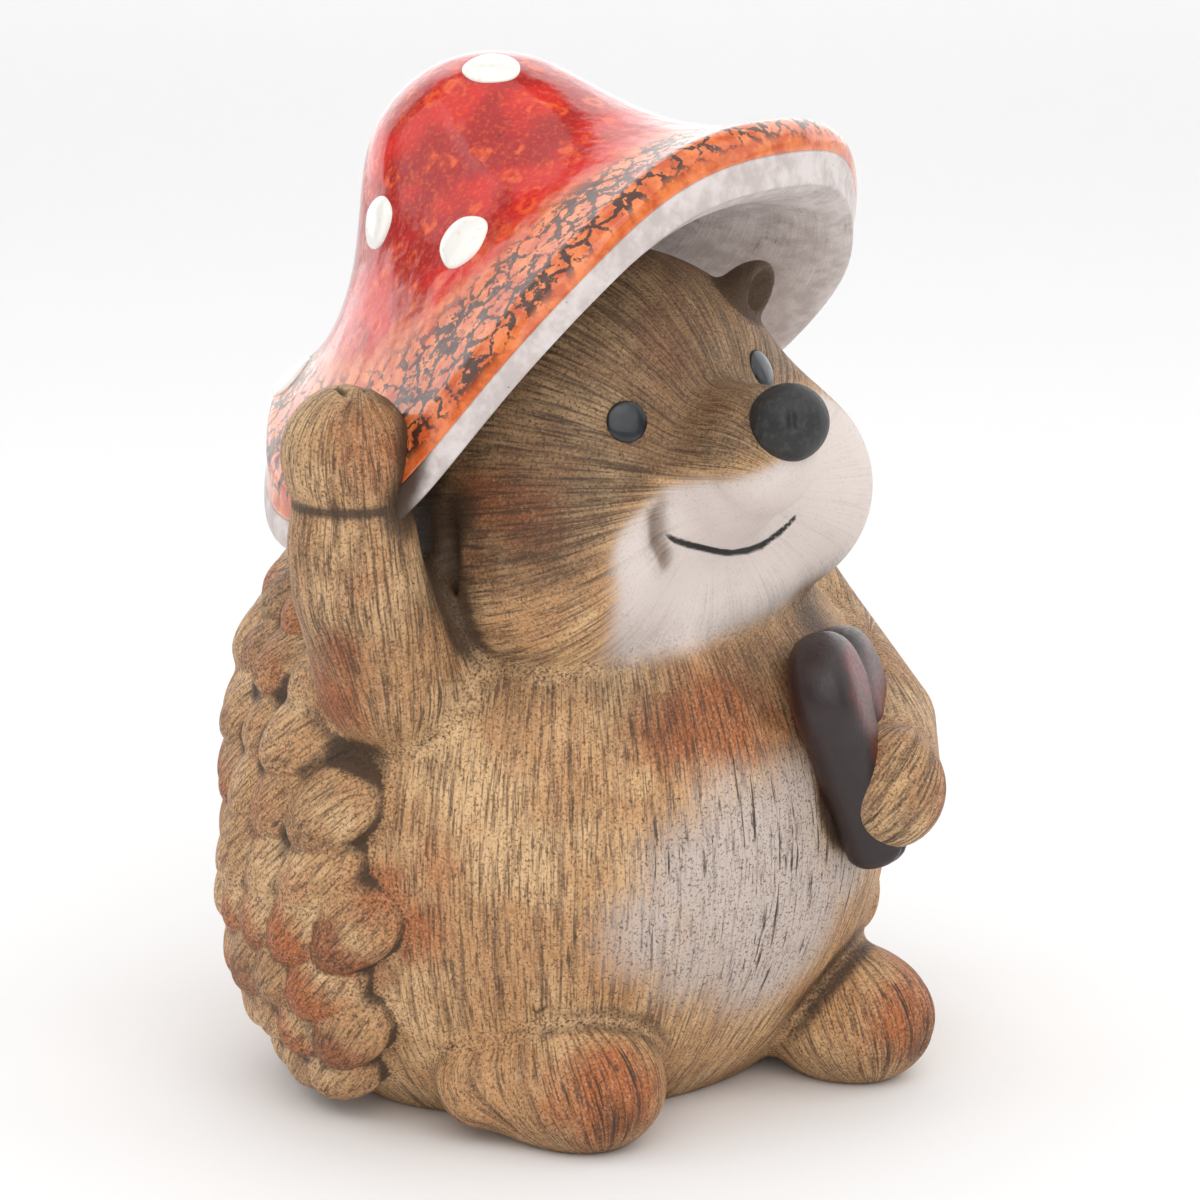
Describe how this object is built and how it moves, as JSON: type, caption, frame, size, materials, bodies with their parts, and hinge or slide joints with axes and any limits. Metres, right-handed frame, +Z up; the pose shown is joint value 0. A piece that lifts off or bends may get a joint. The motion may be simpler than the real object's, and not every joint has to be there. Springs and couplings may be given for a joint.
{
  "type": "hedgehog figurine",
  "caption": "Glazed ceramic hedgehog figurine sitting upright in a flared toadstool hat, one paw on the brim and the other at a heart against its chest.",
  "frame": {"origin": "on the table, in the flat underside of the body, under its middle line and ahead of the drain hole", "axes": "+Z up; the hedgehog faces -Y, so its right side, with the raised paw, is -X"},
  "size_m": [0.1293, 0.1167, 0.1653],
  "materials": {
    "body_clay": "combed, part-glazed earthenware with brown wash",
    "face_clay": "combed earthenware, white slip on muzzle and cheeks",
    "limb_clay": "combed earthenware with rust and brown wash",
    "quill_clay": "combed earthenware with dark wash between the lobes",
    "hat_glaze": "glossy mottled red-orange glaze",
    "hat_cream": "matt cream paint with faint brown streaks",
    "spot_white": "white glaze",
    "eye_black": "glossy black glaze",
    "nose_black": "matt black paint",
    "heart_maroon": "semi-gloss maroon glaze, dark at the edge"
  },
  "bodies": {
    "root": {"torso": "body_clay", "head": "face_clay", "right_arm": "limb_clay", "left_arm": "limb_clay", "right_foot": "limb_clay", "left_foot": "limb_clay", "right_ear": "limb_clay", "left_ear": "limb_clay", "quill_band_1": "quill_clay", "quill_band_2": "quill_clay", "quill_band_3": "quill_clay", "quill_band_4": "quill_clay", "hat_dome": "hat_glaze", "hat_underside": "hat_cream", "hat_spot_1": "spot_white", "hat_spot_2": "spot_white", "hat_spot_3": "spot_white", "hat_spot_4": "spot_white", "hat_spot_5": "spot_white", "hat_spot_6": "spot_white", "hat_spot_7": "spot_white", "right_eye": "eye_black", "left_eye": "eye_black", "nose": "nose_black", "heart": "heart_maroon"}
  },
  "joints": []
}
